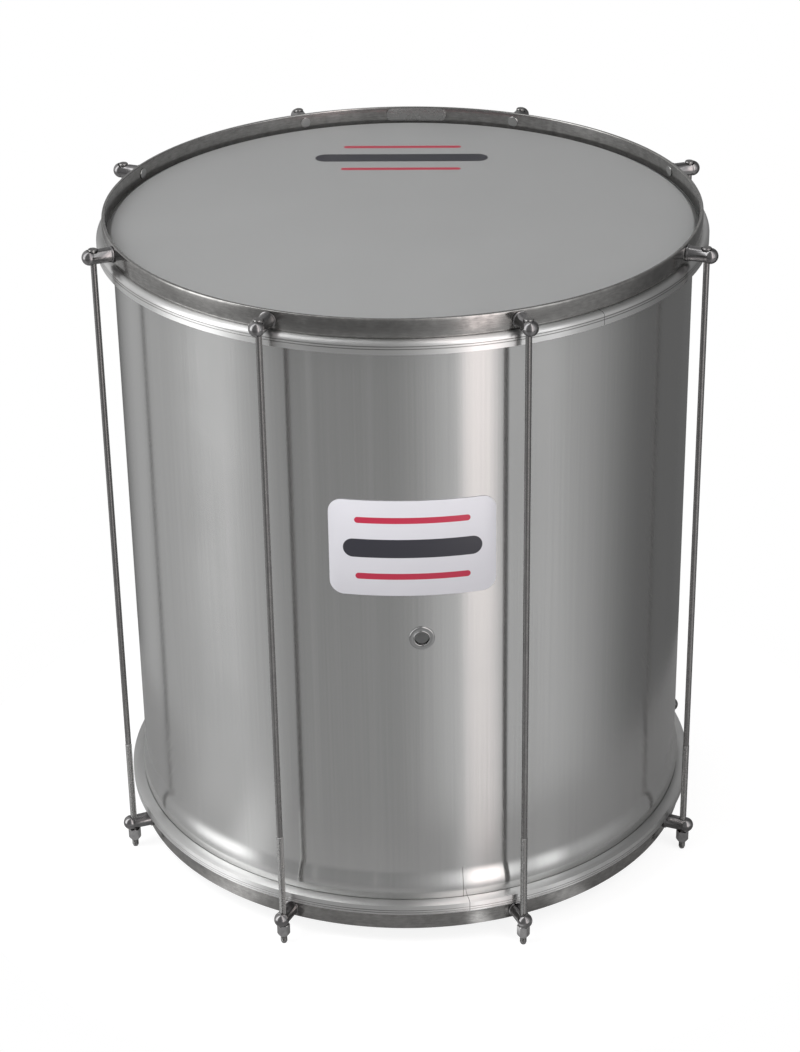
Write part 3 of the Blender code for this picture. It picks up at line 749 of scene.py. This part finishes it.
rod_steel = make_plated_steel(
    "rod_steel", (0.24, 0.235, 0.235), (0.31, 0.305, 0.30), 0.24, 0.006, {"Round": 200.0, "Up": 60.0, "Detail": 3.0},
    on_thread)
rod_pattern = mesh_from("rod", join_shapes(make_rod_shape(), make_thread_shape()))
for number in range(1, ROD_COUNT + 1):
    rod = rod_pattern.copy()
    rod.transform(Matrix.Translation(direction(lug_angle(number)) * ROD_CIRCLE_RADIUS))
    fit_piece(f"tension_rod_{number}", rod, rod_steel, "top_ring", 35)


# Nuts: turned from hexagon bar, with chamfered corners and a tapered collar below. Each is
# screwed up against its lower lug.
NUT_ACROSS_FLATS = 0.0100
NUT_HEX_HEIGHT = 0.0104
NUT_COLLAR_HEIGHT = 0.0018
NUT_BORE_RADIUS = 0.0031
NUT_TURN_STEP = radians(7)
nut_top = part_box("tension_nut_1")[1].z


def make_nut_mesh():
    corner_radius = NUT_ACROSS_FLATS / 2 / cos(pi / 6)
    prism = bmesh.new()
    bmesh.ops.create_cone(prism, cap_ends=True, segments=6, radius1=corner_radius, radius2=corner_radius,
                          depth=NUT_HEX_HEIGHT, matrix=Matrix.Translation((0, 0, -NUT_HEX_HEIGHT / 2)))
    flat = NUT_ACROSS_FLATS / 2 * 0.95
    end = -NUT_HEX_HEIGHT
    chamfered = [(0.0, 0.0), (flat, 0.0), (corner_radius + 0.0001, -0.0007), (corner_radius + 0.0001, end + 0.0007),
                 (flat, end), (0.0, end)]
    envelope = bmesh.new()
    outline = [envelope.verts.new((r, 0, z)) for r, z in chamfered]
    sides = [envelope.edges.new(pair) for pair in zip(outline, outline[1:])]
    bmesh.ops.spin(envelope, geom=outline + sides, cent=(0, 0, 0), axis=(0, 0, 1), angle=2 * pi,
                   steps=48, use_merge=True)
    bmesh.ops.remove_doubles(envelope, verts=envelope.verts, dist=0.000001)
    bmesh.ops.recalc_face_normals(envelope, faces=envelope.faces)
    collar = bmesh.new()
    height = NUT_COLLAR_HEIGHT + 0.0005
    bmesh.ops.create_cone(collar, cap_ends=True, segments=48, radius1=0.0038, radius2=0.0042,
                          depth=height, matrix=Matrix.Translation((0, 0, end + 0.0005 - height / 2)))
    lower_rim = [e for e in collar.edges if all(v.co.z < end - NUT_COLLAR_HEIGHT + 0.0001 for v in e.verts)]
    bmesh.ops.bevel(collar, geom=lower_rim, offset=0.0004, offset_type="OFFSET", segments=2,
                    profile=0.5, affect="EDGES", material=-1)
    bore = disc_cutter(NUT_BORE_RADIUS, 0.05, 32, Matrix.Identity(4))
    return cut(mesh_from("nut", prism), ("INTERSECT", envelope), ("UNION", collar), ("DIFFERENCE", bore))


nut_steel = make_plated_steel(
    "nut_steel", (0.44, 0.435, 0.44), (0.56, 0.555, 0.555), 0.06, 0.004, {"Round": 150.0, "Up": 600.0, "Detail": 3.0})
nut_pattern = make_nut_mesh()
for number in range(1, ROD_COUNT + 1):
    angle = lug_angle(number)
    place = direction(angle) * ROD_CIRCLE_RADIUS
    place.z = nut_top
    nut = nut_pattern.copy()
    nut.transform(Matrix.Translation(place) @ Matrix.Rotation(angle + NUT_TURN_STEP * number, 4, "Z"))
    fit_piece(f"tension_nut_{number}", nut, nut_steel, f"nut_{number}", 25)


# Studio: the drum stands on a small white table top in a pale room with tall soft panels.
# The camera sees the table and the room as plain white.
TABLE_RADIUS = 0.45
CAMERA_PLACE = Vector((-0.0064, -2.1628, 1.0989))
CAMERA_PITCH = radians(27.479)
CAMERA_ROLL = radians(0.909)
DRUM_YAW = radians(2.03)
LENS = 89.87


def make_panel_group():
    """How much of a tall panel shows in a direction: 1 on it, 0 beside it."""
    group, entry, leave = new_group(
        "studio_panel", {"Angle": "Float", "Centre": "Float", "Half Width": "Float", "Soft": "Float"},
        {"Panel": "Float"})
    away = maths(group, "ABSOLUTE", maths(group, "SUBTRACT", entry["Angle"], entry["Centre"]))
    beyond = maths(group, "SUBTRACT", away, entry["Half Width"])
    share = maths(group, "DIVIDE", beyond, entry["Soft"])
    group.links.new(spread(group, share, -1.0, 1.0, 1.0, 0.0, smooth=True), leave["Panel"])
    return group


studio_panel = make_panel_group()


def sum_panels(tree, angle, panels, level):
    """Add up panels, each a centre, half width and soft edge in degrees and a strength."""
    for centre, half_width, soft, strength in panels:
        panel = use_group(tree, studio_panel, {
            "Angle": angle, "Centre": radians(centre), "Half Width": radians(half_width),
            "Soft": radians(soft)}).outputs["Panel"]
        level = maths(tree, "MULTIPLY_ADD", panel, strength, level)
    return level


def make_table_white():
    """White for the camera and glass, with the drum's shadow on it; mirrored rays see painted pools of light, glowing
    strips at set angles round the drum and strongest close to it.
    """
    material, tree, shader = start_material("table_white", (0.25, 0.25, 0.25), 0.9, 0.0)
    shader.inputs["Specular IOR Level"].default_value = 0.0
    angle, _ = angle_from_front(tree)
    place = add_node(tree, "ShaderNodeTexCoord").outputs["Object"]
    from_axis = add_node(tree, "ShaderNodeVectorMath", {0: place}, operation="LENGTH").outputs["Value"]
    close = spread(tree, from_axis, 0.300, 0.330, 1.0, 0.0)
    # Painted light: pools of light that glow from the table for mirrored rays only.
    pools = sum_panels(tree, angle, [(18, 4, 3, 0.10), (-44, 6, 5, 0.32), (-55, 22, 12, 0.08)], 0.07)
    close_pools = sum_panels(tree, angle, [(16.5, 2, 1.6, 0.8), (38, 4, 3, 0.4), (-38, 5, 4, 0.45)], 0.0)
    pools = maths(tree, "MULTIPLY_ADD", close_pools, close, pools)
    path = add_node(tree, "ShaderNodeLightPath").outputs
    mirrored = maths(tree, "MULTIPLY", path["Is Glossy Ray"], pools)
    white = maths(tree, "MULTIPLY", maths(tree, "MAXIMUM", path["Is Camera Ray"], path["Is Transmission Ray"]), 0.85)
    glow = add_node(tree, "ShaderNodeEmission", {"Color": (1, 1, 1, 1)})
    tree.links.new(maths(tree, "MAXIMUM", white, mirrored), glow.inputs["Strength"])
    both = add_node(tree, "ShaderNodeAddShader", {0: shader.outputs[0], 1: glow.outputs[0]})
    tree.links.new(both.outputs[0], tree.nodes["Material Output"].inputs["Surface"])
    return material


table_shape = bmesh.new()
bmesh.ops.create_circle(table_shape, cap_ends=True, segments=128, radius=TABLE_RADIUS,
                        matrix=Matrix.Translation((0, 0, -0.0003)))
table = link_object("table_top", mesh_from("table_top", table_shape))
table.data.materials.append(make_table_white())


def make_room():
    """A dim room with tall soft panels, brighter above the drum's feet and paler at the floor."""
    walls = [(-104, 46, 16, 0.35), (18, 84, 18, 0.07), (17, 8, 16, 0.23), (56, 34, 20, 0.20)]
    lights = [(-79, 9, 5, 0.10), (30.5, 6.8, 4, 1.15)]
    upper_lights = [(-79, 15, 8, 2.1), (33, 13, 10, 0.9), (57, 6, 5, 1.0)]
    stands = [(-36, 1.0, 0.8, 0.14), (-12, 0.8, 0.8, 0.08), (-94.5, 0.5, 0.6, -0.25)]
    floor = [(5, 75, 15, 0.17)]
    world = bpy.data.worlds.new("room")
    bpy.context.scene.world = world
    world.use_nodes = True
    tree = world.node_tree
    background = tree.nodes["Background"]
    ray = add_node(tree, "ShaderNodeTexCoord").outputs["Generated"]
    parts = add_node(tree, "ShaderNodeSeparateXYZ", {0: ray}).outputs
    angle = maths(tree, "ARCTAN2", parts["X"], maths(tree, "MULTIPLY", parts["Y"], -1.0))

    higher = spread(tree, parts["Z"], -0.36, 0.0, 1.0, 1.6)
    high = spread(tree, parts["Z"], -0.33, -0.13)
    fading = spread(tree, parts["Z"], -0.53, -0.42)
    low = spread(tree, parts["Z"], -0.52, -0.41, 1.0, 0.0)
    level = maths(tree, "MULTIPLY", sum_panels(tree, angle, walls, 0.13), higher)
    level = maths(tree, "MULTIPLY_ADD", sum_panels(tree, angle, floor, 0.0), low, level)
    not_low = maths(tree, "SUBTRACT", 1.0, low)
    for panels, share in ((stands, not_low), (lights, fading), (upper_lights, high)):
        level = maths(tree, "MULTIPLY_ADD", sum_panels(tree, angle, panels, 0.0), share, level)
    back = use_group(tree, studio_panel, {
        "Angle": maths(tree, "ABSOLUTE", angle), "Centre": radians(180), "Half Width": radians(20),
        "Soft": radians(10)}).outputs["Panel"]
    above = spread(tree, parts["Z"], 0.0, 0.3, smooth=True)
    backdrop = maths(tree, "MULTIPLY", back, above)
    level = maths(tree, "MULTIPLY_ADD", backdrop, 0.12, level)
    path = add_node(tree, "ShaderNodeLightPath").outputs
    mirrored = maths(tree, "MULTIPLY", maths(tree, "MULTIPLY", path["Is Glossy Ray"], backdrop), 0.1)
    seen = maths(tree, "MAXIMUM", maths(tree, "MAXIMUM", path["Is Camera Ray"], path["Is Transmission Ray"]), mirrored)
    whitened = maths(tree, "MULTIPLY_ADD", maths(tree, "SUBTRACT", 1.0, level), seen, level)
    tree.links.new(whitened, background.inputs["Strength"])
    warmth = maths(tree, "MULTIPLY", sum_panels(tree, angle, [(30.5, 6.8, 4, 1.0)], 0.0), fading)
    unseen = maths(tree, "SUBTRACT", 1.0, seen)
    warm = mix_colours(tree, maths(tree, "MULTIPLY", warmth, unseen), (1, 1, 1), (1.07, 0.98, 0.965))
    tree.links.new(warm, background.inputs["Color"])


make_room()


def add_softbox(name, angle, rise, distance, width, height, power):
    """A soft area lamp on a circle round the drum, aimed at its middle. It only fills."""
    lamp = bpy.data.lights.new(name, "AREA")
    lamp.shape = "RECTANGLE"
    lamp.size = width
    lamp.size_y = height
    lamp.energy = power
    box = bpy.data.objects.new(name, lamp)
    middle = Vector((0, 0, MIDDLE_Z))
    box.location = middle + direction(angle) * distance * cos(rise) + Vector((0, 0, distance * sin(rise)))
    box.rotation_euler = (box.location - middle).to_track_quat("Z", "Y").to_euler()
    box.visible_glossy = False
    bpy.context.scene.collection.objects.link(box)


add_softbox("softbox_right", radians(40), radians(50), 2.6, 1.0, 1.0, 9.0)
add_softbox("softbox_left", radians(-55), radians(50), 2.0, 1.0, 1.0, 16.0)

camera_data = bpy.data.cameras.new("camera")
camera_data.lens = LENS
camera_data.sensor_width = 36
camera = bpy.data.objects.new("camera", camera_data)
bpy.context.scene.collection.objects.link(camera)
bpy.context.scene.camera = camera
forward = Vector((0, cos(CAMERA_PITCH), -sin(CAMERA_PITCH)))
level_right = Vector((1, 0, 0))
level_up = Vector((0, sin(CAMERA_PITCH), cos(CAMERA_PITCH)))
right = level_right * cos(CAMERA_ROLL) - level_up * sin(CAMERA_ROLL)
upward = level_up * cos(CAMERA_ROLL) + level_right * sin(CAMERA_ROLL)
aim = Matrix((right, upward, -forward)).transposed().to_4x4()
yaw = Matrix.Rotation(DRUM_YAW, 4, "Z")
camera.matrix_world = Matrix.Translation((0, 0, MIDDLE_Z)) @ yaw @ Matrix.Translation(CAMERA_PLACE) @ aim

bpy.context.scene.view_settings.view_transform = "Standard"
